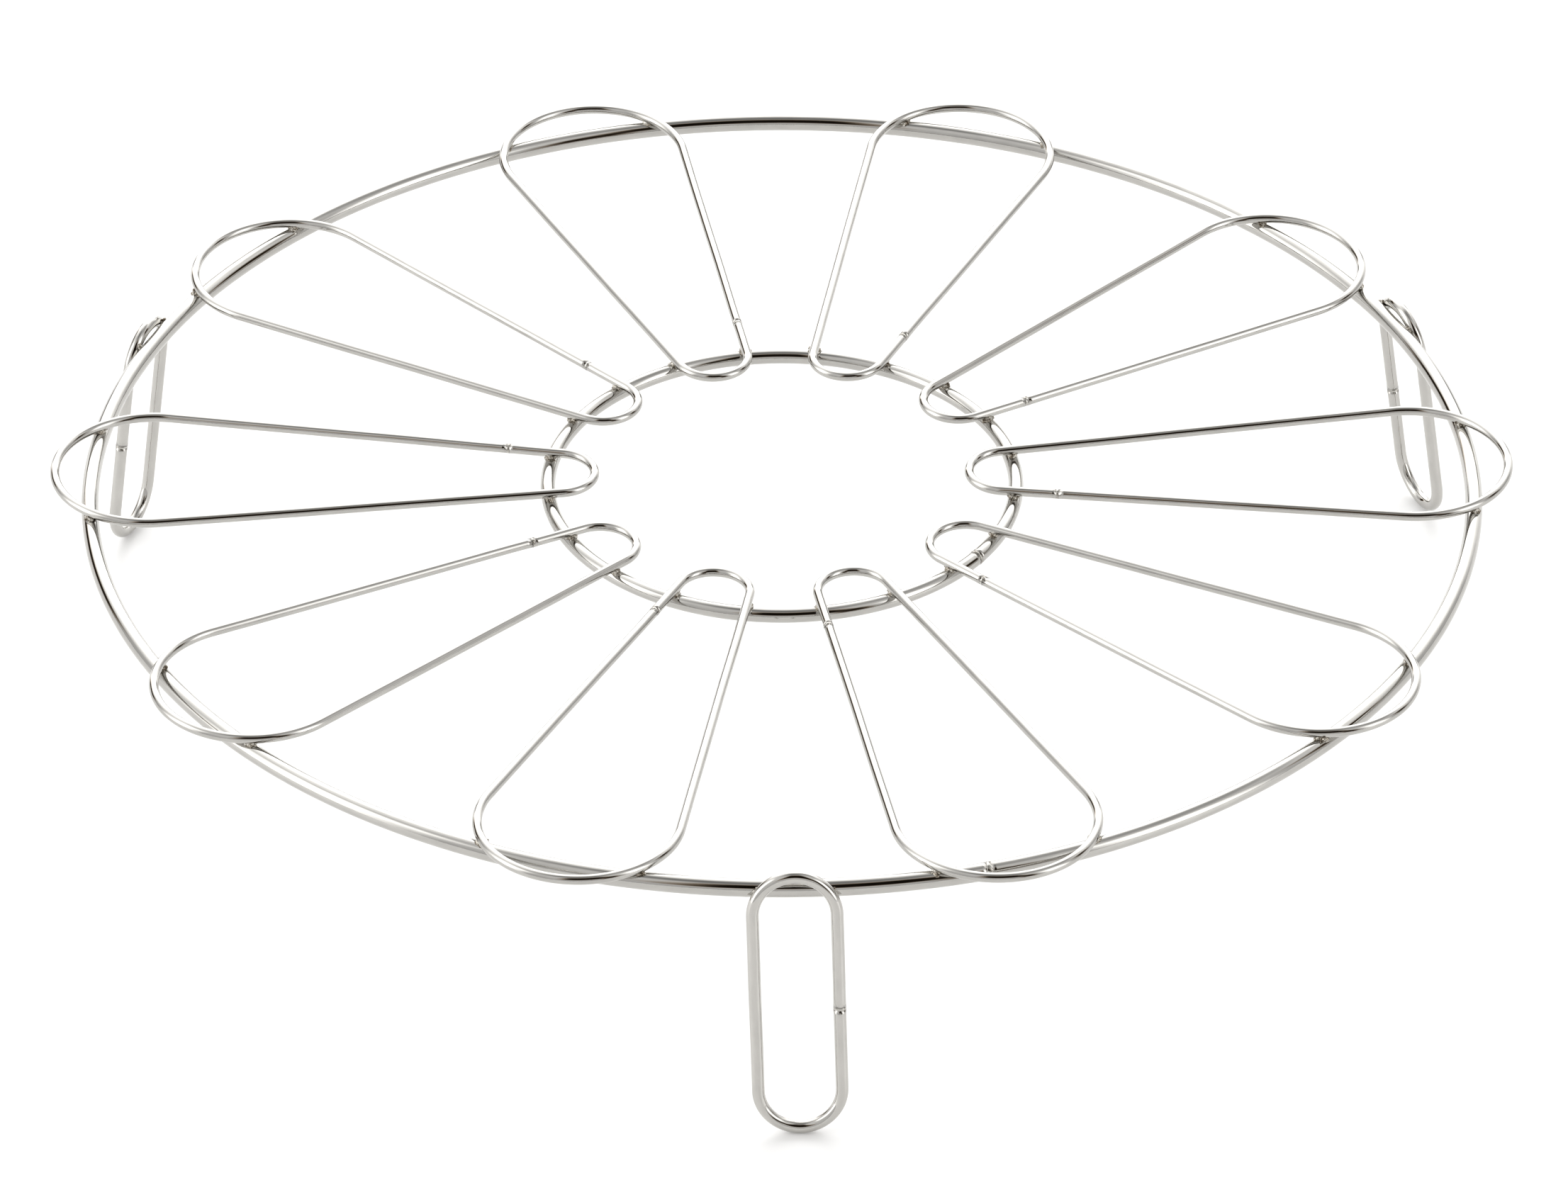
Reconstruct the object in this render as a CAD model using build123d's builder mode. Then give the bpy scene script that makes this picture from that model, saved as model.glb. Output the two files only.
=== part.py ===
"""Round wire rack on three loop legs, welded from drawn stainless wire.

Two concentric rings carry ten identical tapered wire loops laid side by side like petals.
Every loop lies on top of both rings and is welded to each of them at two crossings.
Three upright loops of wire, welded to the outside of the outer ring, are the legs.
Every ring and loop is one length of wire closed by a butt weld.

Frame: +Z up, origin at the bottom centre of the rack's bounding box, on the level the legs
stand on. The front leg is at -Y. It reaches out further than the petals at the back, so the
rings' axis stands a little behind the origin.
All lengths are in millimetres and all angles in degrees.
"""
from build123d import *
import math
import os

os.makedirs("parts", exist_ok=True)

# Rings: radius of the wire's centreline and diameter of the wire
OUTER_RING_RADIUS = 160.0
OUTER_RING_WIRE = 4.0
INNER_RING_RADIUS = 54.3
INNER_RING_WIRE = 3.5
INNER_RING_DROP = 1.5
OUTER_RING_SEAM_AZIMUTH = 285.6
INNER_RING_SEAM_AZIMUTH = 324.3

# Petals: centreline of one tapered loop, measured outward from the axis of the rings
PETAL_COUNT = 10
PETAL_WIRE = 2.2
PETAL_TIP_REACH = 168.3
PETAL_OUTER_RADIUS = 22.2
PETAL_INNER_RADIUS = 8.3
PETAL_INNER_CENTRE = 51.7
PETAL_SEAM_REACH = 63.5

# Legs: centreline of one upright loop with straight sides and round ends. The legs are welded on
# by hand, so each has its own azimuth, splay (foot outward), lean (foot to the left of the
# azimuth) and loop height. All three feet reach the floor at the same drop below the outer ring.
LEGS = {
    "front": (270.4, 10.7, 1.5, 60.1),
    "rear_right": (24.6, 8.7, -1.0, 57.8),
    "rear_left": (157.2, 6.0, 4.8, 57.2),
}
LEG_WIRE = 2.8
LEG_LOOP_WIDTH = 18.2
LEG_FOOT_DROP = 54.3
LEG_SEAM_DROP = 26.6

# Welds
WELD_GAP = 0.15
PETAL_NUGGET_RADIUS = 1.25
LEG_NUGGET_RADIUS = 1.55
BUTT_WELD_WIDTH = 0.45
BUTT_WELD_BULGE = 0.12
BUTT_WELD_ROUNDING = 0.1

leg_half_width = LEG_LOOP_WIDTH / 2
ring_height = LEG_FOOT_DROP + LEG_WIRE / 2
inner_ring_height = ring_height - INNER_RING_DROP

# The straight sides of a petal touch both end arcs, so their slope follows from the two radii
petal_outer_centre = PETAL_TIP_REACH - PETAL_OUTER_RADIUS
petal_length = petal_outer_centre - PETAL_INNER_CENTRE
petal_taper = math.degrees(math.asin((PETAL_OUTER_RADIUS - PETAL_INNER_RADIUS) / petal_length))


def petal_side_at(reach):
    """Half width of the petal's centreline where its side is straight, at this reach."""
    taper = math.radians(petal_taper)
    offset = PETAL_INNER_RADIUS + (reach - PETAL_INNER_CENTRE) * math.sin(taper)
    return offset / math.cos(taper)


def crossing_over_outer_ring():
    """Reach and half width where the petal's outer arc crosses the outer ring's centreline."""
    squares = OUTER_RING_RADIUS**2 + petal_outer_centre**2 - PETAL_OUTER_RADIUS**2
    reach = squares / (2 * petal_outer_centre)
    return reach, math.sqrt(OUTER_RING_RADIUS**2 - reach**2)


def crossing_over_inner_ring():
    """Reach and half width where the petal's straight side crosses the inner ring's centreline."""
    taper = math.radians(petal_taper)
    offset = PETAL_INNER_RADIUS - PETAL_INNER_CENTRE * math.sin(taper)
    bearing = taper + math.asin(offset / INNER_RING_RADIUS)
    return INNER_RING_RADIUS * math.cos(bearing), INNER_RING_RADIUS * math.sin(bearing)


# The petals rest on both rings, which sets the height and the slight inward slope of their plane
outer_cross_reach, outer_cross_side = crossing_over_outer_ring()
inner_cross_reach, inner_cross_side = crossing_over_inner_ring()
petal_height_outer = ring_height + (OUTER_RING_WIRE + PETAL_WIRE) / 2 + WELD_GAP
petal_height_inner = inner_ring_height + (INNER_RING_WIRE + PETAL_WIRE) / 2 + WELD_GAP
petal_rise = petal_height_outer - petal_height_inner
petal_slope = math.degrees(math.atan2(petal_rise, outer_cross_reach - inner_cross_reach))
slope_cos = math.cos(math.radians(petal_slope))
petal_axis_height = petal_height_outer - outer_cross_reach * math.tan(math.radians(petal_slope))


def leg_arc_centres(position):
    """Heights of the top and bottom arcs' centres above the ring, along the leg's own axis."""
    azimuth, splay, lean, height = LEGS[position]
    drop = LEG_FOOT_DROP / math.cos(math.radians(splay))
    lower = (leg_half_width - drop) / math.cos(math.radians(lean))
    return lower + height - LEG_LOOP_WIDTH, lower


def leg_crossings(position):
    """Offsets to the left of the azimuth where the top arc crosses the outer ring's height."""
    azimuth, splay, lean, height = LEGS[position]
    upper, lower = leg_arc_centres(position)
    middle = -upper * math.sin(math.radians(lean))
    half = math.sqrt(leg_half_width**2 - (upper * math.cos(math.radians(lean))) ** 2)
    return middle - half, middle + half


def leg_reach(position):
    """Reach of the leg's plane at the ring's height, one gap outside the outer ring."""
    azimuth, splay, lean, height = LEGS[position]
    right_side, left_side = leg_crossings(position)
    ring_reach = math.sqrt(OUTER_RING_RADIUS**2 - ((left_side - right_side) / 2) ** 2)
    stand_off = (OUTER_RING_WIRE + LEG_WIRE) / 2 + WELD_GAP
    return ring_reach + stand_off / math.cos(math.radians(splay))


# The rings' axis stands where it centres the bounding box between the front leg and the back
front_splay = math.radians(LEGS["front"][1])
front_reach = leg_reach("front") + LEG_FOOT_DROP * math.tan(front_splay) + LEG_WIRE / 2
back_petal_azimuth = math.radians(2 * 360 / PETAL_COUNT)
back_reach = petal_outer_centre * slope_cos * math.sin(back_petal_azimuth)
back_reach += PETAL_OUTER_RADIUS + PETAL_WIRE / 2
ring_axis_y = (front_reach - back_reach) / 2
ring_axis = Axis((0, ring_axis_y, 0), (0, 0, 1))


def direction(azimuth, outward, leftward, upward):
    """Vector given by its parts along the azimuth, to the left of it and up."""
    angle = math.radians(azimuth)
    x = outward * math.cos(angle) - leftward * math.sin(angle)
    y = outward * math.sin(angle) + leftward * math.cos(angle)
    return Vector(x, y, upward)


def place(azimuth, reach, side, height):
    """Point given by its reach from the rings' axis, its offset to the left and its height."""
    return direction(azimuth, reach, side, height) + Vector(0, ring_axis_y, 0)


def petal_plane(azimuth):
    """Plane of a petal: local x runs outward along the petal, local y to the left of it."""
    slope_sin = math.sin(math.radians(petal_slope))
    outward = direction(azimuth, slope_cos, 0, slope_sin)
    upward = direction(azimuth, -slope_sin, 0, slope_cos)
    return Plane(origin=place(azimuth, 0, 0, petal_axis_height), x_dir=outward, z_dir=upward)


def leg_plane(position):
    """Plane of a leg: local y runs up the leg's own axis, local x to the left of it."""
    azimuth, splay, lean, height = LEGS[position]
    splay_cos = math.cos(math.radians(splay))
    splay_sin = math.sin(math.radians(splay))
    lean_cos = math.cos(math.radians(lean))
    lean_sin = math.sin(math.radians(lean))
    origin = place(azimuth, leg_reach(position), 0, ring_height)
    outward = direction(azimuth, splay_cos, 0, splay_sin)
    leftward = direction(azimuth, -lean_sin * splay_sin, lean_cos, lean_sin * splay_cos)
    return Plane(origin=origin, x_dir=leftward, z_dir=outward)


def save(builder, name):
    """Name the finished piece and write it as its own STEP file."""
    builder.part.label = name
    export_step(builder.part, f"parts/{name}.step")


def bead(seam, wire):
    """Butt weld in the gap between the two ends of a wire, centred on the seam plane."""
    half_width = BUTT_WELD_WIDTH / 2
    with BuildPart() as weld:
        with BuildSketch(seam.offset(-half_width)):
            Circle(wire / 2 + BUTT_WELD_BULGE)
        extrude(amount=BUTT_WELD_WIDTH)
        fillet(weld.edges().filter_by(GeomType.CIRCLE), radius=BUTT_WELD_ROUNDING)
    return weld


def ring_section(radius, height, azimuth):
    """Plane across a ring's wire at this azimuth, facing anticlockwise."""
    return Plane(
        origin=place(azimuth, radius, 0, height),
        x_dir=direction(azimuth, 1, 0, 0),
        z_dir=direction(azimuth, 0, 1, 0),
    )


def ring(radius, wire, height, seam_azimuth):
    """Ring of round wire, open at the seam by the width of its butt weld."""
    gap = math.degrees(BUTT_WELD_WIDTH / radius)
    with BuildPart() as hoop:
        with BuildSketch(ring_section(radius, height, seam_azimuth + gap / 2)):
            Circle(wire / 2)
        revolve(axis=ring_axis, revolution_arc=360 - gap)
    return hoop


def outer_hoop():
    """The outer ring's wire."""
    return ring(OUTER_RING_RADIUS, OUTER_RING_WIRE, ring_height, OUTER_RING_SEAM_AZIMUTH)


def inner_hoop():
    """The inner ring's wire."""
    return ring(INNER_RING_RADIUS, INNER_RING_WIRE, inner_ring_height, INNER_RING_SEAM_AZIMUTH)


def ring_bead(radius, wire, height, seam_azimuth):
    """Butt weld that fills the gap in a ring of wire."""
    gap = math.degrees(BUTT_WELD_WIDTH / radius)
    with BuildPart() as weld:
        with BuildSketch(ring_section(radius, height, seam_azimuth - gap / 2)):
            Circle(wire / 2 + BUTT_WELD_BULGE)
        revolve(axis=ring_axis, revolution_arc=gap)
        fillet(weld.edges().filter_by(GeomType.CIRCLE), radius=BUTT_WELD_ROUNDING)
    return weld


def petal_corners():
    """Where the straight sides meet the end arcs, as (inner, outer) points of the left side."""
    taper = math.radians(petal_taper)
    inner_reach = PETAL_INNER_CENTRE - PETAL_INNER_RADIUS * math.sin(taper)
    outer_reach = petal_outer_centre - PETAL_OUTER_RADIUS * math.sin(taper)
    inner_side = PETAL_INNER_RADIUS * math.cos(taper)
    outer_side = PETAL_OUTER_RADIUS * math.cos(taper)
    return (inner_reach, inner_side), (outer_reach, outer_side)


def petal_seam_ends():
    """Middle and two ends of the gap in the petal's right side, in the petal's plane."""
    taper = math.radians(petal_taper)
    step_x = BUTT_WELD_WIDTH / 2 * math.cos(taper)
    step_y = BUTT_WELD_WIDTH / 2 * math.sin(taper)
    middle = (PETAL_SEAM_REACH, -petal_side_at(PETAL_SEAM_REACH))
    outward_end = (middle[0] + step_x, middle[1] - step_y)
    inward_end = (middle[0] - step_x, middle[1] + step_y)
    return middle, outward_end, inward_end


def petal(azimuth):
    """Tapered loop of round wire, open at its seam."""
    (inner_x, inner_y), (outer_x, outer_y) = petal_corners()
    seam_middle, outward_end, inward_end = petal_seam_ends()
    tip = (PETAL_TIP_REACH, 0)
    root = (PETAL_INNER_CENTRE - PETAL_INNER_RADIUS, 0)
    with BuildPart() as loop:
        with BuildLine(petal_plane(azimuth)) as path:
            Line(outward_end, (outer_x, -outer_y))
            ThreePointArc((outer_x, -outer_y), tip, (outer_x, outer_y))
            Line((outer_x, outer_y), (inner_x, inner_y))
            ThreePointArc((inner_x, inner_y), root, (inner_x, -inner_y))
            Line((inner_x, -inner_y), inward_end)
        with BuildSketch(path.line ^ 0):
            Circle(PETAL_WIRE / 2)
        sweep()
    return loop


def petal_seam(azimuth):
    """Plane across the petal's wire at its seam."""
    plane = petal_plane(azimuth)
    seam_middle, outward_end, inward_end = petal_seam_ends()
    centre = plane.from_local_coords(Vector(*seam_middle, 0))
    along = plane.from_local_coords(Vector(*outward_end, 0)) - centre
    return Plane(origin=centre, x_dir=plane.z_dir, z_dir=along)


def leg(position):
    """Upright loop of round wire with round ends, open at its seam."""
    upper, lower = leg_arc_centres(position)
    above_seam = -LEG_SEAM_DROP + BUTT_WELD_WIDTH / 2
    below_seam = -LEG_SEAM_DROP - BUTT_WELD_WIDTH / 2
    top = (0, upper + leg_half_width)
    foot = (0, lower - leg_half_width)
    with BuildPart() as loop:
        with BuildLine(leg_plane(position)) as path:
            Line((leg_half_width, above_seam), (leg_half_width, upper))
            ThreePointArc((leg_half_width, upper), top, (-leg_half_width, upper))
            Line((-leg_half_width, upper), (-leg_half_width, lower))
            ThreePointArc((-leg_half_width, lower), foot, (leg_half_width, lower))
            Line((leg_half_width, lower), (leg_half_width, below_seam))
        with BuildSketch(path.line ^ 0):
            Circle(LEG_WIRE / 2)
        sweep()
    return loop


def leg_seam(position):
    """Plane across the leg's wire at its seam."""
    plane = leg_plane(position)
    centre = plane.from_local_coords(Vector(leg_half_width, -LEG_SEAM_DROP, 0))
    return Plane(origin=centre, x_dir=plane.z_dir, z_dir=plane.y_dir)


def nuggets(centres, radius, wires):
    """Weld metal squeezed out around the contact of two wires, one solid at each centre."""
    with BuildPart() as metal:
        with Locations(*centres):
            Sphere(radius, rotation=(90, 0, 0))
        for wire in wires:
            add(wire.part, mode=Mode.SUBTRACT)
    return metal


def petal_nugget_centres(azimuth):
    """Middle of the gap at the petal's four crossings: two over each ring."""
    outer_z = ring_height + (OUTER_RING_WIRE + WELD_GAP) / 2
    inner_z = inner_ring_height + (INNER_RING_WIRE + WELD_GAP) / 2
    outer_pair = [place(azimuth, outer_cross_reach, s * outer_cross_side, outer_z) for s in (-1, 1)]
    inner_pair = [place(azimuth, inner_cross_reach, s * inner_cross_side, inner_z) for s in (-1, 1)]
    return outer_pair + inner_pair


def leg_nugget_centres(position):
    """Middle of the gap at the leg's two crossings of the outer ring."""
    azimuth, splay, lean, height = LEGS[position]
    stand_off = (OUTER_RING_WIRE + WELD_GAP) / 2
    outward = stand_off * math.cos(math.radians(splay))
    centre_height = ring_height + stand_off * math.sin(math.radians(splay))
    centres = []
    for side in leg_crossings(position):
        ring_reach = math.sqrt(OUTER_RING_RADIUS**2 - side**2)
        centres.append(place(azimuth, ring_reach + outward, side, centre_height))
    return centres


# Rings
outer_ring = outer_hoop()
inner_ring = inner_hoop()
outer_bead = ring_bead(OUTER_RING_RADIUS, OUTER_RING_WIRE, ring_height, OUTER_RING_SEAM_AZIMUTH)
inner_bead = ring_bead(INNER_RING_RADIUS, INNER_RING_WIRE, inner_ring_height, INNER_RING_SEAM_AZIMUTH)
save(outer_ring, "outer_ring")
save(inner_ring, "inner_ring")
save(outer_bead, "outer_ring_butt_weld")
save(inner_bead, "inner_ring_butt_weld")

# Petals, counted anticlockwise from +X
for number in range(PETAL_COUNT):
    azimuth = number * 360 / PETAL_COUNT
    name = f"petal_{number + 1:02d}"
    loop = petal(azimuth)
    centres = petal_nugget_centres(azimuth)
    save(loop, name)
    save(bead(petal_seam(azimuth), PETAL_WIRE), f"{name}_butt_weld")
    wires = [petal(azimuth), outer_hoop(), inner_hoop()]
    save(nuggets(centres, PETAL_NUGGET_RADIUS, wires), f"{name}_welds")

# Legs
for position in LEGS:
    name = f"leg_{position}"
    loop = leg(position)
    save(loop, name)
    save(bead(leg_seam(position), LEG_WIRE), f"{name}_butt_weld")
    wires = [leg(position), outer_hoop()]
    save(nuggets(leg_nugget_centres(position), LEG_NUGGET_RADIUS, wires), f"{name}_welds")
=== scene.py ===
"""Polished stainless wire rack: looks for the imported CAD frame, in metres."""

import math

import bmesh
import bpy
import numpy as np
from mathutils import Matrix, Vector, noise


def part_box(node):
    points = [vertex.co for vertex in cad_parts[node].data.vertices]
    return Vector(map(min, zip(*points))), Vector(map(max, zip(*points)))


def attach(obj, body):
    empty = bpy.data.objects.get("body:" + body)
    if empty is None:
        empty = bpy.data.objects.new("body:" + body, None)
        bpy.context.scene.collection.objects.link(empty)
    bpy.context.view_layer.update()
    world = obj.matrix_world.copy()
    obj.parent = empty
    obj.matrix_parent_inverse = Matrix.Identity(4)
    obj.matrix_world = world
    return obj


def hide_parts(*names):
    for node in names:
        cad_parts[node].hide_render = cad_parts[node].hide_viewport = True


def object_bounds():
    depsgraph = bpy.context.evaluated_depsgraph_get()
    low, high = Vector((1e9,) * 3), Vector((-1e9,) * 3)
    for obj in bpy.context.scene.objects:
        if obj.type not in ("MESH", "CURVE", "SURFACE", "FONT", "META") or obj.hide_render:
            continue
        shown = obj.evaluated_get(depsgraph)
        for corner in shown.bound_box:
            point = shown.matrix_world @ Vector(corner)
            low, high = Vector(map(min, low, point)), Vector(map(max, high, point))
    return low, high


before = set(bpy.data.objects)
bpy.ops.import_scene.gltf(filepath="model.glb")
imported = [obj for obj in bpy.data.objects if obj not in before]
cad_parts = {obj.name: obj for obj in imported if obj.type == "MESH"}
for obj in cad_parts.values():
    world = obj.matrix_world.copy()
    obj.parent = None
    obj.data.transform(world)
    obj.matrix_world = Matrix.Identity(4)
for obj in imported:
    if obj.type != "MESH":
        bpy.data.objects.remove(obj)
cad_low, cad_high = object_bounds()

MM = 0.001

# ---------------------------------------------------------------- shared sizes, in millimetres
OUTER_RADIUS = 160.0
OUTER_WIRE = 4.0
OUTER_SEAM = 285.6
INNER_RADIUS = 54.3
INNER_WIRE = 3.5
INNER_SEAM = 324.3
PETALS = 10
PETAL_WIRE = 2.2
TIP_REACH = 168.3
TIP_RADIUS = 22.2
ROOT_RADIUS = 8.3
ROOT_CENTRE = 51.7
PETAL_SEAM_REACH = 63.5
# azimuth, splay and sideways lean in degrees, then the loop's height between centrelines
LEGS = {
    "front": (270.4, 10.7, 1.5, 60.1),
    "rear_right": (24.6, 8.7, -1.0, 57.8),
    "rear_left": (157.2, 6.0, 4.8, 57.2),
}
LEG_WIRE = 2.8
LEG_WIDTH = 18.2
LEG_FOOT_DROP = 54.3
LEG_SEAM_DROP = 26.6
GAP = 0.15
SEAM_WIDTH = 0.45

# ---------------------------------------------------------------- sizes of the fine detail
WIRE_WAVER = {"ring": 0.03, "petal": 0.05, "leg": 0.04}
HEAT_REACH = {"ring": 1.5, "petal": 1.2, "leg": 1.5}
UPSET, UPSET_REACH = 0.02, 0.6
SEAM_REACH = 1.0
BURR = (0.62, 1.72, 0.62)
BURR_RISE = 0.22
RING_BULGE = 0.12
WIRE_BULGE = 0.07
PETAL_LUMP = 1.42
LEG_LUMP = 1.1
SKIN_CELL = 0.13
PIT_DEPTH = 0.11


def middle(node):
    low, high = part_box(node)
    return (low + high) / 2 / MM


outer_middle = middle("outer_ring")
inner_middle = middle("inner_ring")
AXIS_Y = outer_middle.y
RING_Z = outer_middle.z
INNER_Z = inner_middle.z

taper = math.asin((TIP_RADIUS - ROOT_RADIUS) / (TIP_REACH - TIP_RADIUS - ROOT_CENTRE))
tip_centre = TIP_REACH - TIP_RADIUS
out_reach = (OUTER_RADIUS**2 + tip_centre**2 - TIP_RADIUS**2) / (2 * tip_centre)
out_side = math.sqrt(OUTER_RADIUS**2 - out_reach**2)
bearing = taper + math.asin((ROOT_RADIUS - ROOT_CENTRE * math.sin(taper)) / INNER_RADIUS)
in_reach = INNER_RADIUS * math.cos(bearing)
in_side = INNER_RADIUS * math.sin(bearing)
out_z = RING_Z + (OUTER_WIRE + PETAL_WIRE) / 2 + GAP
in_z = INNER_Z + (INNER_WIRE + PETAL_WIRE) / 2 + GAP
slope = math.atan2(out_z - in_z, out_reach - in_reach)
axis_z = out_z - out_reach * math.tan(slope)

leg_half = LEG_WIDTH / 2


def leg_facts(position):
    """Azimuth, splay and lean in radians, arc centres, crossing offsets and reach of one leg."""
    azimuth, splay, lean, height = LEGS[position]
    splay, lean = math.radians(splay), math.radians(lean)
    lower = (leg_half - LEG_FOOT_DROP / math.cos(splay)) / math.cos(lean)
    upper = lower + height - LEG_WIDTH
    centre = -upper * math.sin(lean)
    half = math.sqrt(leg_half**2 - (upper * math.cos(lean)) ** 2)
    reach = math.sqrt(OUTER_RADIUS**2 - half**2)
    reach += ((OUTER_WIRE + LEG_WIRE) / 2 + GAP) / math.cos(splay)
    return azimuth, splay, lean, upper, lower, (centre - half, centre + half), reach


def turn(points, azimuth):
    """Turn local (outward, leftward, up) points to this azimuth about the rings' axis."""
    a = math.radians(azimuth)
    points = np.atleast_2d(np.asarray(points, float))
    x = points[:, 0] * math.cos(a) - points[:, 1] * math.sin(a)
    y = points[:, 0] * math.sin(a) + points[:, 1] * math.cos(a)
    return np.stack([x, y, points[:, 2]], 1)


def place(points, azimuth):
    """The same, from the floor's origin: the rings' axis stands at AXIS_Y."""
    return turn(points, azimuth) + [0, AXIS_Y, 0]


# ---------------------------------------------------------------- centrelines
def run(start, end, step):
    """Points from start towards end, without the last."""
    count = max(2, int(math.dist(start, end) / step))
    share = np.arange(count)[:, None] / count
    return np.array(start) + (np.array(end) - np.array(start)) * share


def arc(centre, radius, start, end, step):
    """Points round an arc from start towards end, without the last."""
    count = max(6, int(radius * abs(end - start) / step))
    angle = start + (end - start) * np.arange(count) / count
    return np.array(centre) + radius * np.stack([np.cos(angle), np.sin(angle)], 1)


def petal_line(azimuth):
    """Centreline from one end at the seam round the tip and the root to the other end."""
    ix, iy = ROOT_CENTRE - ROOT_RADIUS * math.sin(taper), ROOT_RADIUS * math.cos(taper)
    ox, oy = tip_centre - TIP_RADIUS * math.sin(taper), TIP_RADIUS * math.cos(taper)
    side = (ROOT_RADIUS + (PETAL_SEAM_REACH - ROOT_CENTRE) * math.sin(taper)) / math.cos(taper)
    cx, sx = SEAM_WIDTH / 2 * math.cos(taper), SEAM_WIDTH / 2 * math.sin(taper)
    first = (PETAL_SEAM_REACH + cx, -side - sx)
    last = (PETAL_SEAM_REACH - cx, -side + sx)
    quarter = math.pi / 2 + taper
    flat = np.concatenate([
        run(first, (ox, -oy), 1.3),
        arc((tip_centre, 0), TIP_RADIUS, -quarter, quarter, 0.8),
        run((ox, oy), (ix, iy), 1.3),
        arc((ROOT_CENTRE, 0), ROOT_RADIUS, quarter, 2 * math.pi - quarter, 0.5),
        run((ix, -iy), last, 0.9),
        [last],
    ])
    local = np.stack([flat[:, 0] * math.cos(slope), flat[:, 1],
                      axis_z + flat[:, 0] * math.sin(slope)], 1)
    normal = turn((-math.sin(slope), 0, math.cos(slope)), azimuth)[0]
    return place(local, azimuth), normal


def ring_line(radius, height, wire_seam, step):
    """Centreline of a ring from one end at the seam all the way round to the other."""
    gap = SEAM_WIDTH / radius
    count = int(2 * math.pi * radius / step)
    angle = math.radians(wire_seam) + gap / 2 + (2 * math.pi - gap) * np.arange(count + 1) / count
    line = np.stack([radius * np.cos(angle), AXIS_Y + radius * np.sin(angle),
                     np.full(count + 1, height)], 1)
    return line, np.array([0.0, 0.0, 1.0])


def leg_line(position):
    """Centreline of a leg from the seam up, over the top, down and round the foot to the seam."""
    azimuth, splay, lean, upper, lower, sides, reach = leg_facts(position)
    seam = -LEG_SEAM_DROP
    flat = np.concatenate([
        run((leg_half, seam + SEAM_WIDTH / 2), (leg_half, upper), 1.2),
        arc((0, upper), leg_half, 0, math.pi, 0.6),
        run((-leg_half, upper), (-leg_half, lower), 1.2),
        arc((0, lower), leg_half, math.pi, 2 * math.pi, 0.6),
        run((leg_half, lower), (leg_half, seam - SEAM_WIDTH / 2), 1.2),
        [(leg_half, seam - SEAM_WIDTH / 2)],
    ])
    side = flat[:, 0] * math.cos(lean) - flat[:, 1] * math.sin(lean)
    rise = flat[:, 0] * math.sin(lean) + flat[:, 1] * math.cos(lean)
    local = np.stack([reach - rise * math.sin(splay), side, RING_Z + rise * math.cos(splay)], 1)
    normal = turn((math.cos(splay), 0, math.sin(splay)), azimuth)[0]
    return place(local, azimuth), normal


# ---------------------------------------------------------------- meshes
def unit(rows):
    return rows / np.linalg.norm(rows, axis=1)[:, None]


def new_piece(name, vertices, faces, material, node):
    """One visible piece from millimetres, kept inside the box of the CAD."""
    mesh = bpy.data.meshes.new(name)
    inside = np.clip(np.asarray(vertices) * MM, np.array(cad_low), np.array(cad_high))
    mesh.from_pydata([tuple(v) for v in inside], [], faces)
    mesh.shade_smooth()
    mesh.materials.append(material)
    piece = bpy.data.objects.new(name, mesh)
    bpy.context.scene.collection.objects.link(piece)
    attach(piece, "root")
    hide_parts(node)
    return piece


def wander(s, seed, length):
    """Slow smooth noise along the wire, about -1 to 1."""
    return np.array([noise.noise(Vector((float(x) / length, seed * 7.31, 0.5))) for x in s]) * 1.6


def tube(name, line, normal, wire, sides, material, node, spots, seed, family):
    """Round drawn wire along an open line whose two ends meet at its butt weld."""
    sway, reach = WIRE_WAVER[family], HEAT_REACH[family]
    tangent = unit(np.gradient(line, axis=0))
    step = np.linalg.norm(np.diff(line, axis=0), axis=1)
    along = np.concatenate([[0], np.cumsum(step)])
    total = along[-1]
    end = np.minimum(along, total - along)
    across = unit(np.cross(tangent, normal))
    upward = unit(np.cross(across, tangent))
    hold = np.clip(end / 6, 0, 1)
    line = line + across * (sway * hold * wander(along, seed, 23))[:, None]
    line = line + upward * (sway * 0.6 * hold * wander(along, seed + 3, 31))[:, None]
    upset = UPSET * np.exp(-(end / UPSET_REACH) ** 2)
    radius = wire / 2 * (1 + upset + 0.004 * wander(along, seed + 5, 9) * hold - 0.004)
    angle = 2 * math.pi * np.arange(sides) / sides
    ca, sa = np.cos(angle), np.sin(angle)
    out = across[:, None, :] * ca[None, :, None] + upward[:, None, :] * sa[None, :, None]
    points = (line[:, None, :] + out * radius[:, None, None]).reshape(-1, 3)
    rings = len(line)
    faces = []
    for i in range(rings - 1):
        a, b = i * sides, (i + 1) * sides
        for k in range(sides):
            n = (k + 1) % sides
            faces.append((a + k, b + k, b + n, a + n))
    faces.append(tuple(range(sides)))
    faces.append(tuple(range((rings - 1) * sides, rings * sides))[::-1])
    mesh = new_piece(name, points, faces, material, node).data
    coords = np.zeros((rings * sides, 3), np.float32)
    coords[:, 0] = np.repeat(along, sides)
    coords[:, 1] = (radius[:, None] * ca[None, :]).ravel()
    coords[:, 2] = (radius[:, None] * sa[None, :]).ravel()
    store = mesh.attributes.new("wire", "FLOAT_VECTOR", "POINT")
    store.data.foreach_set("vector", coords.ravel())
    heat = np.zeros(len(points))
    for spot in spots:
        away = np.linalg.norm(points - np.array(spot), axis=1)
        heat = np.maximum(heat, np.exp(-(away / reach) ** 2))
    seam = np.repeat(np.exp(-(end / SEAM_REACH) ** 2), sides)
    for label, values in (("heat", heat), ("seam", seam)):
        store = mesh.attributes.new(label, "FLOAT", "POINT")
        store.data.foreach_set("value", values.astype(np.float32))


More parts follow.
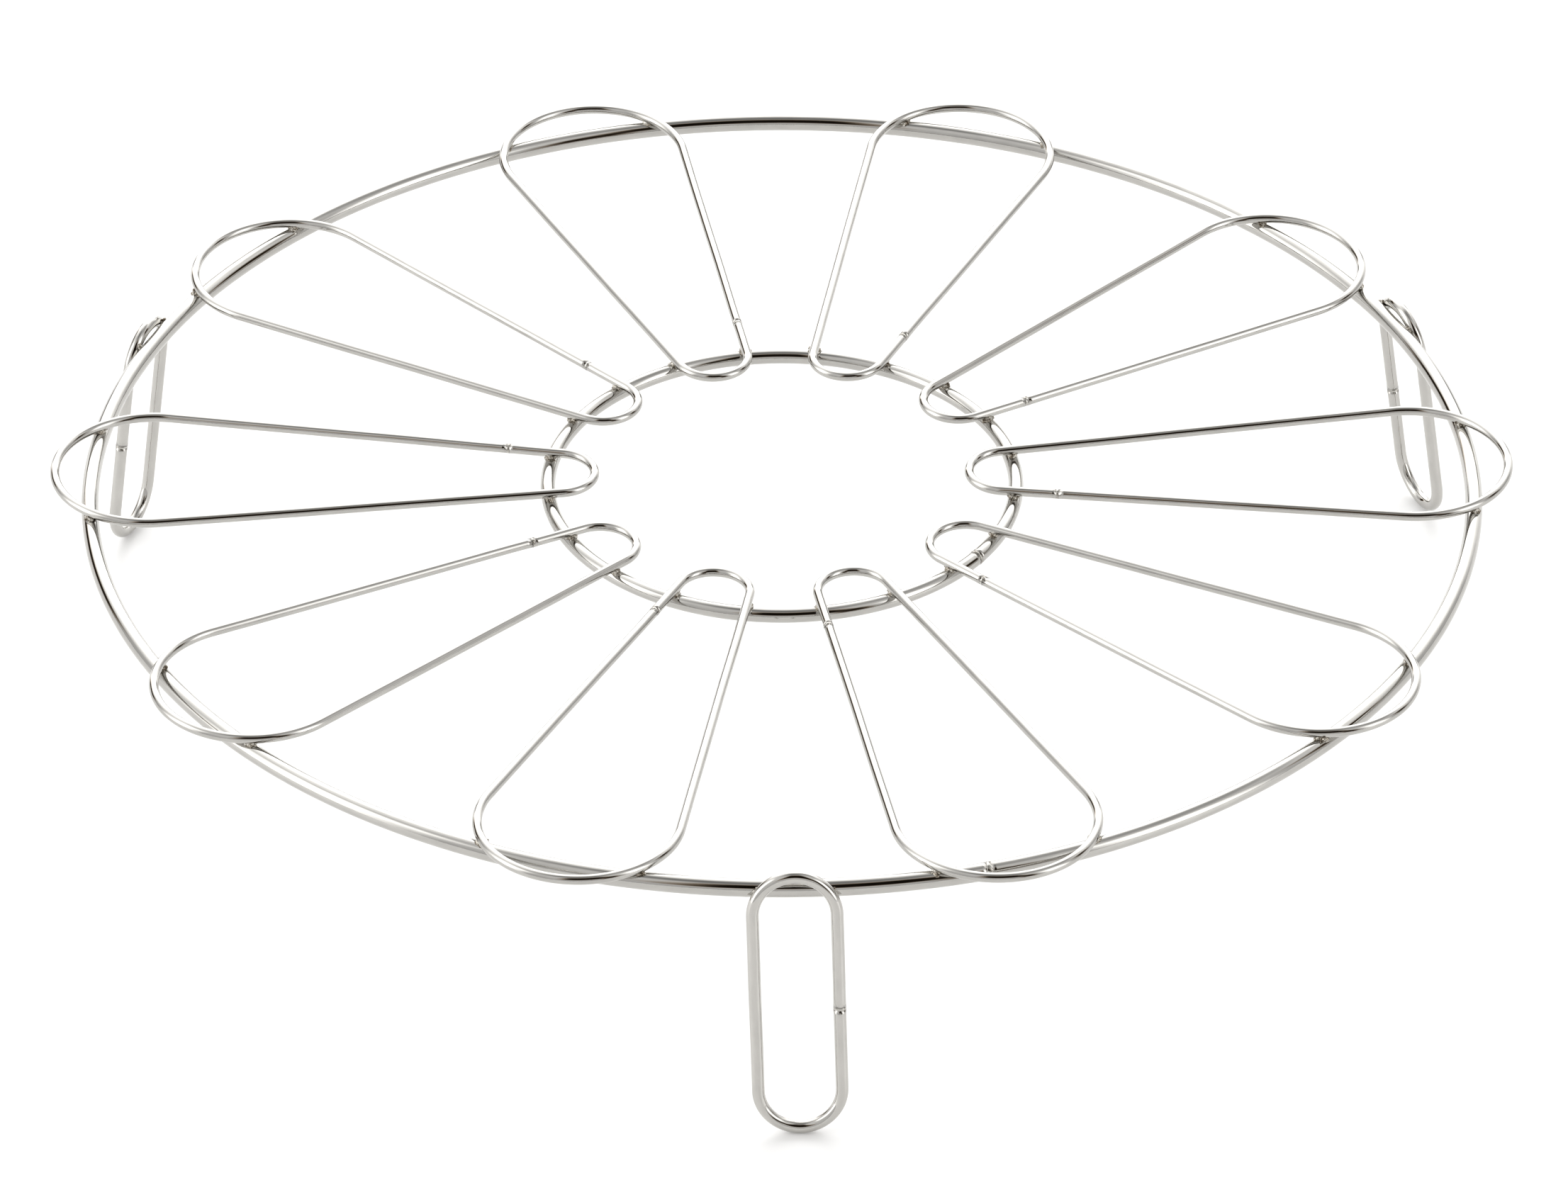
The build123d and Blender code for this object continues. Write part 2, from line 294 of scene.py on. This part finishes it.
def bead(name, centre, tangent, normal, wire, node, seed, material, bulge=WIRE_BULGE, burr=None):
    """Butt weld: an uneven collar of upset metal that fills the gap between the wire's ends.

    A burr is (start angle, angle of its point, extra half width at the start), round the wire.
    """
    sides = 60
    tangent = np.array(tangent) / np.linalg.norm(tangent)
    across = np.cross(tangent, normal)
    across /= np.linalg.norm(across)
    upward = np.cross(across, tangent)
    shape = [(-1.0, -0.35), (-0.8, 0.25), (-0.45, 0.8), (0.0, 1.0), (0.45, 0.8), (0.8, 0.25),
             (1.0, -0.35)]
    points, faces = [], []
    for j, (offset, lift) in enumerate(shape):
        for k in range(sides):
            a = 2 * math.pi * k / sides
            sway = noise.noise(Vector((math.cos(a) * 1.7, math.sin(a) * 1.7, seed * 3.7)))
            fine = noise.noise(Vector((math.cos(a) * 5, math.sin(a) * 5, seed * 1.9 + j * 0.35)))
            height = bulge * (0.55 + 0.8 * sway + 0.35 * fine)
            half = SEAM_WIDTH / 2 + 0.05 + 0.08 * max(0.0, sway + 0.3) + 0.03 * fine
            if burr:
                start, point, extra = burr
                grow = min((a - start) / BURR_RISE + 1, (point - a) / (point - start))
                grow = max(0.0, grow)
                half += extra * grow
                height = max(height, bulge * min(1.0, 3 * grow))
            r = wire / 2 + min(height, bulge) * lift - (0.06 if lift < 0 else 0)
            points.append(np.array(centre) + tangent * offset * half
                          + (across * math.cos(a) + upward * math.sin(a)) * r)
    for j in range(len(shape) - 1):
        for k in range(sides):
            n = (k + 1) % sides
            a, b = j * sides, (j + 1) * sides
            faces.append((a + k, b + k, b + n, a + n))
    faces.append(tuple(range(sides)))
    faces.append(tuple(range((len(shape) - 1) * sides, len(shape) * sides))[::-1])
    new_piece(name, points, faces, material, node)


def ball(subdivisions):
    sphere = bmesh.new()
    bmesh.ops.create_icosphere(sphere, subdivisions=subdivisions, radius=1.0)
    points = np.array([v.co[:] for v in sphere.verts])
    faces = [tuple(v.index for v in f.verts) for f in sphere.faces]
    sphere.free()
    return points, faces


BALL, BALL_FACES = ball(2)


def fuse(points, faces, cell):
    """One closed skin round overlapping closed shells, in millimetres."""
    mesh = bpy.data.meshes.new("fuse")
    mesh.from_pydata([tuple(p) for p in points], [], faces)
    holder = bpy.data.objects.new("fuse", mesh)
    bpy.context.scene.collection.objects.link(holder)
    skin = holder.modifiers.new("skin", "REMESH")
    skin.mode = "VOXEL"
    skin.voxel_size = cell
    solid = holder.evaluated_get(bpy.context.evaluated_depsgraph_get()).to_mesh()
    vertices = np.array([v.co[:] for v in solid.vertices])
    outward = np.array([v.normal[:] for v in solid.vertices])
    polygons = [tuple(p.vertices) for p in solid.polygons]
    holder.to_mesh_clear()
    bpy.data.objects.remove(holder)
    bpy.data.meshes.remove(mesh)
    return vertices, outward, polygons


def flash(name, spots, node, seed, material, size):
    """Lumps of metal squeezed out of the contacts of two wires, pitted and fused together."""
    rng = np.random.default_rng(seed)
    points, faces = [], []
    for centre, side in spots:
        centre = np.array(centre)
        side = np.array(side) / np.linalg.norm(side)
        up = np.array([0.0, 0.0, 1.0])
        if abs(side @ up) > 0.7:
            up = np.array([1.0, 0.0, 0.0])
        first = np.cross(side, up)
        first /= np.linalg.norm(first)
        second = np.cross(side, first)
        lumps = [(centre, np.full(3, 0.8 * size))]
        for _ in range(15):
            a = rng.uniform(0, 2 * math.pi)
            reach = size * rng.uniform(0.5, 1.0)
            level = size * rng.uniform(-0.34, 0.34)
            spot = centre + (first * math.cos(a) + second * math.sin(a)) * reach + side * level
            lumps.append((spot, size * rng.uniform(0.18, 0.4) * rng.uniform(0.75, 1.2, 3)))
        for spot, radii in lumps:
            offset = len(points) * len(BALL)
            points.append(BALL * radii + spot)
            faces.extend(tuple(i + offset for i in face) for face in BALL_FACES)
    vertices, outward, polygons = fuse(np.concatenate(points), faces, SKIN_CELL)
    pits = [noise.noise(Vector(v) * 1.9) + 0.5 * noise.noise(Vector(v) * 4.3) for v in vertices]
    vertices = vertices + outward * (PIT_DEPTH * np.array(pits))[:, None]
    new_piece(name, vertices, polygons, material, node)


# ---------------------------------------------------------------- materials
class Tree:
    """Small helper to write node trees."""

    def __init__(self, material):
        material.use_nodes = True
        self.tree = material.node_tree
        self.tree.nodes.clear()

    def node(self, kind, **settings):
        made = self.tree.nodes.new(kind)
        for key, value in settings.items():
            setattr(made, key, value)
        return made

    def link(self, start, end):
        self.tree.links.new(start, end)

    def value(self, source, socket):
        if isinstance(source, bpy.types.NodeSocket):
            self.link(source, socket)
        else:
            socket.default_value = source

    def math(self, operation, *inputs):
        made = self.node("ShaderNodeMath", operation=operation)
        for i, source in enumerate(inputs):
            self.value(source, made.inputs[i])
        return made.outputs[0]

    def noise(self, vector, scale, detail=3.0, rough=0.5):
        made = self.node("ShaderNodeTexNoise")
        self.link(vector, made.inputs["Vector"])
        made.inputs["Scale"].default_value = scale
        made.inputs["Detail"].default_value = detail
        made.inputs["Roughness"].default_value = rough
        return made.outputs[0]

    def stretch(self, vector, scale, offset):
        made = self.node("ShaderNodeMapping")
        self.link(vector, made.inputs["Vector"])
        made.inputs["Scale"].default_value = scale
        made.inputs["Location"].default_value = offset
        return made.outputs[0]

    def ramp(self, source, stops):
        made = self.node("ShaderNodeValToRGB")
        self.link(source, made.inputs[0])
        cells = made.color_ramp.elements
        while len(cells) < len(stops):
            cells.new(0.5)
        for cell, (place_at, colour) in zip(cells, stops):
            cell.position = place_at
            cell.color = (*colour, 1)
        return made.outputs[0]

    def mix(self, share, a, b):
        made = self.node("ShaderNodeMix", data_type="RGBA")
        self.value(share, made.inputs[0])
        self.value(a, made.inputs[6])
        self.value(b, made.inputs[7])
        return made.outputs[2]

    def attribute(self, name):
        return self.node("ShaderNodeAttribute", attribute_name=name)


def wire_metal(name, shade, rough, seed, grain):
    """Polished drawn wire: fine lines along it, cloudy polish, heat marks and worn seams."""
    material = bpy.data.materials.new(name)
    t = Tree(material)
    out = t.node("ShaderNodeOutputMaterial")
    shader = t.node("ShaderNodeBsdfPrincipled")
    t.link(shader.outputs[0], out.inputs[0])
    wire = t.attribute("wire").outputs["Vector"]
    heat = t.attribute("heat").outputs["Fac"]
    seam = t.attribute("seam").outputs["Fac"]
    drawn = t.noise(t.stretch(wire, (0.05, 1, 1), (seed, 0, 0)), 7.0, 3.0, 0.6)
    hair = t.noise(t.stretch(wire, (0.12, 1, 1), (seed + 9, 0, 0)), 22.0, 2.0, 0.5)
    cloud = t.noise(t.stretch(wire, (0.3, 1, 1), (seed + 21, 0, 0)), 0.55, 3.0, 0.55)
    grit = t.noise(t.stretch(wire, (1, 1, 1), (seed + 33, 0, 0)), 3.2, 4.0, 0.65)
    dark = tuple(c * 0.9 for c in shade)
    base = t.ramp(cloud, [(0.3, dark), (0.7, shade)])
    tint_share = t.math("MULTIPLY", heat, t.ramp(grit, [(0.35, (0, 0, 0)), (0.62, (1, 1, 1))]))
    base = t.mix(tint_share, base, (0.17, 0.125, 0.085, 1))
    worn = t.math("MULTIPLY", seam, t.ramp(grit, [(0.42, (0, 0, 0)), (0.58, (1, 1, 1))]))
    worn = t.math("MULTIPLY", worn, 0.4)
    base = t.mix(worn, base, (0.27, 0.25, 0.225, 1))
    t.link(base, shader.inputs["Base Color"])
    shader.inputs["Metallic"].default_value = 1.0
    shader.inputs["Specular IOR Level"].default_value = 0.5
    roughness = t.math("MULTIPLY_ADD", cloud, 0.05, rough - 0.025)
    roughness = t.math("MULTIPLY_ADD", drawn, 0.03, roughness)
    roughness = t.math("MULTIPLY_ADD", heat, 0.18, roughness)
    roughness = t.math("MULTIPLY_ADD", worn, 0.5, roughness)
    t.link(roughness, shader.inputs["Roughness"])
    relief = t.math("MULTIPLY_ADD", hair, 0.35, drawn)
    blemish = t.math("MULTIPLY", grit, t.math("MULTIPLY_ADD", seam, 0.4, heat))
    relief = t.math("MULTIPLY_ADD", blemish, 5.0, relief)
    bump = t.node("ShaderNodeBump")
    bump.inputs["Strength"].default_value = 1.0
    bump.inputs["Distance"].default_value = grain
    t.link(relief, bump.inputs["Height"])
    t.link(bump.outputs[0], shader.inputs["Normal"])
    return material


def weld_metal(name, colours, rough, relief):
    """Metal that has been molten: mottled colour, uneven polish and a pitted skin."""
    material = bpy.data.materials.new(name)
    t = Tree(material)
    out = t.node("ShaderNodeOutputMaterial")
    shader = t.node("ShaderNodeBsdfPrincipled")
    t.link(shader.outputs[0], out.inputs[0])
    where = t.node("ShaderNodeTexCoord").outputs["Object"]
    coarse = t.noise(where, 900.0, 4.0, 0.6)
    fine = t.noise(where, 3200.0, 3.0, 0.6)
    t.link(t.ramp(coarse, list(zip((0.36, 0.5, 0.64), colours))), shader.inputs["Base Color"])
    shader.inputs["Metallic"].default_value = 1.0
    t.link(t.math("MULTIPLY_ADD", fine, rough, 0.08), shader.inputs["Roughness"])
    bump = t.node("ShaderNodeBump")
    bump.inputs["Strength"].default_value = 1.0
    bump.inputs["Distance"].default_value = relief
    t.link(t.math("MULTIPLY_ADD", fine, 0.4, coarse), bump.inputs["Height"])
    t.link(bump.outputs[0], shader.inputs["Normal"])
    return material


STEEL = (0.515, 0.503, 0.478)
# the legs take a lighter copy of the same steel: painted light, standing in for the brighter floor their
# strands reflect
PAINTED_LIGHTER_LEG_STEEL = (0.56, 0.547, 0.52)
ring_metal = wire_metal("ring_wire", STEEL, 0.04, 2.0, 0.0000022)
petal_metal = wire_metal("petal_wire", STEEL, 0.06, 40.0, 0.000003)
leg_metal = wire_metal("leg_wire", PAINTED_LIGHTER_LEG_STEEL, 0.05, 80.0, 0.0000025)
melted = weld_metal("weld_metal", ((0.11, 0.085, 0.06), (0.36, 0.33, 0.28), (0.62, 0.6, 0.56)),
                    0.3, 0.00009)
upset_metal = weld_metal("seam_metal", ((0.3, 0.28, 0.25), (0.47, 0.455, 0.42),
                                        (0.62, 0.61, 0.58)), 0.2, 0.00003)

# ---------------------------------------------------------------- rings
petal_azimuths = [k * 360 / PETALS for k in range(PETALS)]
outer_top = RING_Z + (OUTER_WIRE + GAP) / 2
inner_top = INNER_Z + (INNER_WIRE + GAP) / 2
outer_spots = []
inner_spots = []
for azimuth in petal_azimuths:
    for s in (-1, 1):
        outer_spots.append(place((out_reach, s * out_side, outer_top), azimuth)[0])
        inner_spots.append(place((in_reach, s * in_side, inner_top), azimuth)[0])
leg_spots = []
half_off = (OUTER_WIRE + GAP) / 2
for position in LEGS:
    azimuth, splay, lean, upper, lower, sides, reach = leg_facts(position)
    for side in sides:
        spot = (math.sqrt(OUTER_RADIUS**2 - side**2) + half_off * math.cos(splay), side,
                RING_Z + half_off * math.sin(splay))
        leg_spots.append(place(spot, azimuth)[0])

line, normal = ring_line(OUTER_RADIUS, RING_Z, OUTER_SEAM, 1.35)
tube("outer_ring_drawn_wire", line, normal, OUTER_WIRE, 36, ring_metal, "outer_ring",
     outer_spots + leg_spots, 1.0, "ring")
line, normal = ring_line(INNER_RADIUS, INNER_Z, INNER_SEAM, 1.1)
tube("inner_ring_drawn_wire", line, normal, INNER_WIRE, 32, ring_metal, "inner_ring",
     inner_spots, 11.0, "ring")
for label, radius, height, azimuth, wire, burr, seed in (
        ("outer_ring", OUTER_RADIUS, RING_Z, OUTER_SEAM, OUTER_WIRE, BURR, 4),
        ("inner_ring", INNER_RADIUS, INNER_Z, INNER_SEAM, INNER_WIRE, None, 9)):
    centre = place((radius, 0, height), azimuth)[0]
    tangent = turn((0, 1, 0), azimuth)[0]
    bead(label + "_seam_bead", centre, tangent, (0, 0, 1), wire, label + "_butt_weld", seed,
         upset_metal, bulge=RING_BULGE, burr=burr)

# ---------------------------------------------------------------- petals
for number, azimuth in enumerate(petal_azimuths):
    node = f"petal_{number + 1:02d}"
    line, normal = petal_line(azimuth)
    first = 2 * number
    spots = [outer_spots[first], inner_spots[first], outer_spots[first + 1], inner_spots[first + 1]]
    tube(node + "_drawn_wire", line, normal, PETAL_WIRE, 24, petal_metal, node,
         spots, 100.0 + 13 * number, "petal")
    centre = (line[0] + line[-1]) / 2
    bead(node + "_seam_bead", centre, line[0] - line[-1], normal, PETAL_WIRE,
         node + "_butt_weld", 20 + number, upset_metal)
    flash(node + "_weld_flash", [(p, (0, 0, 1)) for p in spots], node + "_welds", 300 + number,
          melted, PETAL_LUMP)

# ---------------------------------------------------------------- legs
for number, position in enumerate(LEGS):
    node = "leg_" + position
    line, normal = leg_line(position)
    spots = leg_spots[2 * number:2 * number + 2]
    tube(node + "_drawn_wire", line, normal, LEG_WIRE, 28, leg_metal, node,
         spots, 700.0 + 17 * number, "leg")
    centre = (line[0] + line[-1]) / 2
    bead(node + "_seam_bead", centre, line[0] - line[-1], normal, LEG_WIRE,
         node + "_butt_weld", 60 + number, upset_metal)
    flash(node + "_weld_flash", [(p, normal) for p in spots], node + "_welds", 400 + number,
          melted, LEG_LUMP)

# ---------------------------------------------------------------- floor
mesh = bpy.data.meshes.new("floor")
HALF = 40.0
mesh.from_pydata([(-HALF, -HALF, 0), (HALF, -HALF, 0), (HALF, HALF, 0), (-HALF, HALF, 0)], [],
                 [(0, 1, 2, 3)])
floor = bpy.data.objects.new("floor", mesh)
bpy.context.scene.collection.objects.link(floor)
paper = bpy.data.materials.new("pale_floor")
t = Tree(paper)
out = t.node("ShaderNodeOutputMaterial")
shader = t.node("ShaderNodeBsdfPrincipled")
t.link(shader.outputs[0], out.inputs[0])
where = t.node("ShaderNodeTexCoord").outputs["Object"]
t.link(t.ramp(t.noise(where, 3.0, 3.0), [(0.3, (0.9, 0.9, 0.9)), (0.7, (0.92, 0.92, 0.92))]),
       shader.inputs["Base Color"])
shader.inputs["Roughness"].default_value = 0.42
shader.inputs["Specular IOR Level"].default_value = 0.5
# a little glow lifts the floor to the white of the photograph's background
shader.inputs["Emission Color"].default_value = (1.0, 1.0, 1.0, 1.0)
shader.inputs["Emission Strength"].default_value = 0.1
mesh.materials.append(paper)

# ---------------------------------------------------------------- studio light
world = bpy.data.worlds.new("studio")
bpy.context.scene.world = world
t = Tree(world)
out = t.node("ShaderNodeOutputWorld")
sky = t.node("ShaderNodeBackground")
t.link(sky.outputs[0], out.inputs[0])
way = t.node("ShaderNodeTexCoord").outputs["Generated"]
parts = t.node("ShaderNodeSeparateXYZ")
t.link(way, parts.inputs[0])
DEG = math.pi / 180
elevation = t.math("MULTIPLY", t.math("ARCSINE", parts.outputs[2]), 1 / DEG)


def smooth(source, low, high, start, end):
    made = t.node("ShaderNodeMapRange", interpolation_type="SMOOTHSTEP")
    t.value(source, made.inputs[0])
    for i, number in enumerate((low, high, start, end)):
        made.inputs[i + 1].default_value = number
    return made.outputs[0]


def window(azimuth, half_width, soft, low, high, soft_low, soft_high):
    """Share from 0 to 1 inside a soft window. Azimuth 0 is towards -Y and 90 towards +X."""
    a = azimuth * DEG
    ahead = t.math("MULTIPLY_ADD", parts.outputs[0], math.sin(a),
                   t.math("MULTIPLY", parts.outputs[1], -math.cos(a)))
    aside = t.math("MULTIPLY_ADD", parts.outputs[0], math.cos(a),
                   t.math("MULTIPLY", parts.outputs[1], math.sin(a)))
    off = t.math("MULTIPLY", t.math("ABSOLUTE", t.math("ARCTAN2", aside, ahead)), 1 / DEG)
    share = smooth(off, half_width - soft / 2, half_width + soft / 2, 1.0, 0.0)
    share = t.math("MULTIPLY", share, smooth(elevation, low - soft_low / 2, low + soft_low / 2, 0, 1))
    return t.math("MULTIPLY", share, smooth(elevation, high - soft_high / 2, high + soft_high / 2, 1, 0))


light = smooth(elevation, 0, 60, 0.66, 0.9)
light = t.math("SUBTRACT", light, smooth(elevation, 60, 84, 0.0, 0.6))
shade = 0.0


def panel(level, share, dark):
    """Bring the light to this level inside the window; dark ones also take a warm tint."""
    global light, shade
    gain = t.math("SUBTRACT", level, light)
    light = t.math("MULTIPLY_ADD", gain, share, light)
    if dark:
        shade = t.math("MAXIMUM", shade, share)


# Not a plain studio: these panels were set in rounds, from where the photograph's wires
# reflect light and dark.
# level, window (azimuth, half width, softness, low, high, softness low, softness high), dark or not
PANELS = [
    (1.5, (180, 66, 40, 30, 65, 24, 24), False),
    (2.6, (180, 38, 36, -8, 50, 24, 20), False),
    (0.55, (122, 38, 40, 50, 76, 16, 16), False),
    (2.5, (-82, 20, 26, -10, 52, 20, 16), False),
    (2.4, (63, 13, 14, 4, 47, 14, 18), False),
    (0.015, (-134, 11, 7, 3, 20, 7, 8), True),
    (0.03, (98, 8, 7, 12, 35, 8, 9), True),
    (0.35, (-154, 4, 5, -16, 13, 8, 8), False),
    (0.35, (154, 4, 5, -16, 13, 8, 8), False),
    (0.01, (8, 27, 16, 25, 70, 13, 20), True),
    (0.03, (32, 8, 8, 8, 40, 11, 12), True),
]
for level, area, dark in PANELS:
    panel(level, window(*area), dark)
GAIN = 1.04
t.link(t.math("MULTIPLY", light, GAIN), sky.inputs["Strength"])
PALE, WARM = (1.0, 0.998, 0.992, 1), (1.0, 0.74, 0.5, 1)
t.link(t.mix(shade, PALE, WARM), sky.inputs["Color"])

# ---------------------------------------------------------------- camera
# The lens, place and turn are the result of a least-squares camera fit to the photograph.
camera_data = bpy.data.cameras.new("camera")
camera_data.sensor_fit = "HORIZONTAL"
camera_data.sensor_width = 36.0
camera_data.lens = 176.735254
camera = bpy.data.objects.new("camera", camera_data)
bpy.context.scene.collection.objects.link(camera)
CAMERA_FROM_RINGS = (-0.01319059, -1.48857213, 0.98547451)
CAMERA_TURN = (55.6549812, 0.00523278, -0.52987666)
camera.location = Vector((0.0, AXIS_Y, RING_Z)) * MM + Vector(CAMERA_FROM_RINGS)
camera.rotation_euler = [math.radians(v) for v in CAMERA_TURN]
bpy.context.scene.camera = camera
bpy.context.scene.view_settings.view_transform = "Standard"
bpy.context.scene.view_settings.look = "None"
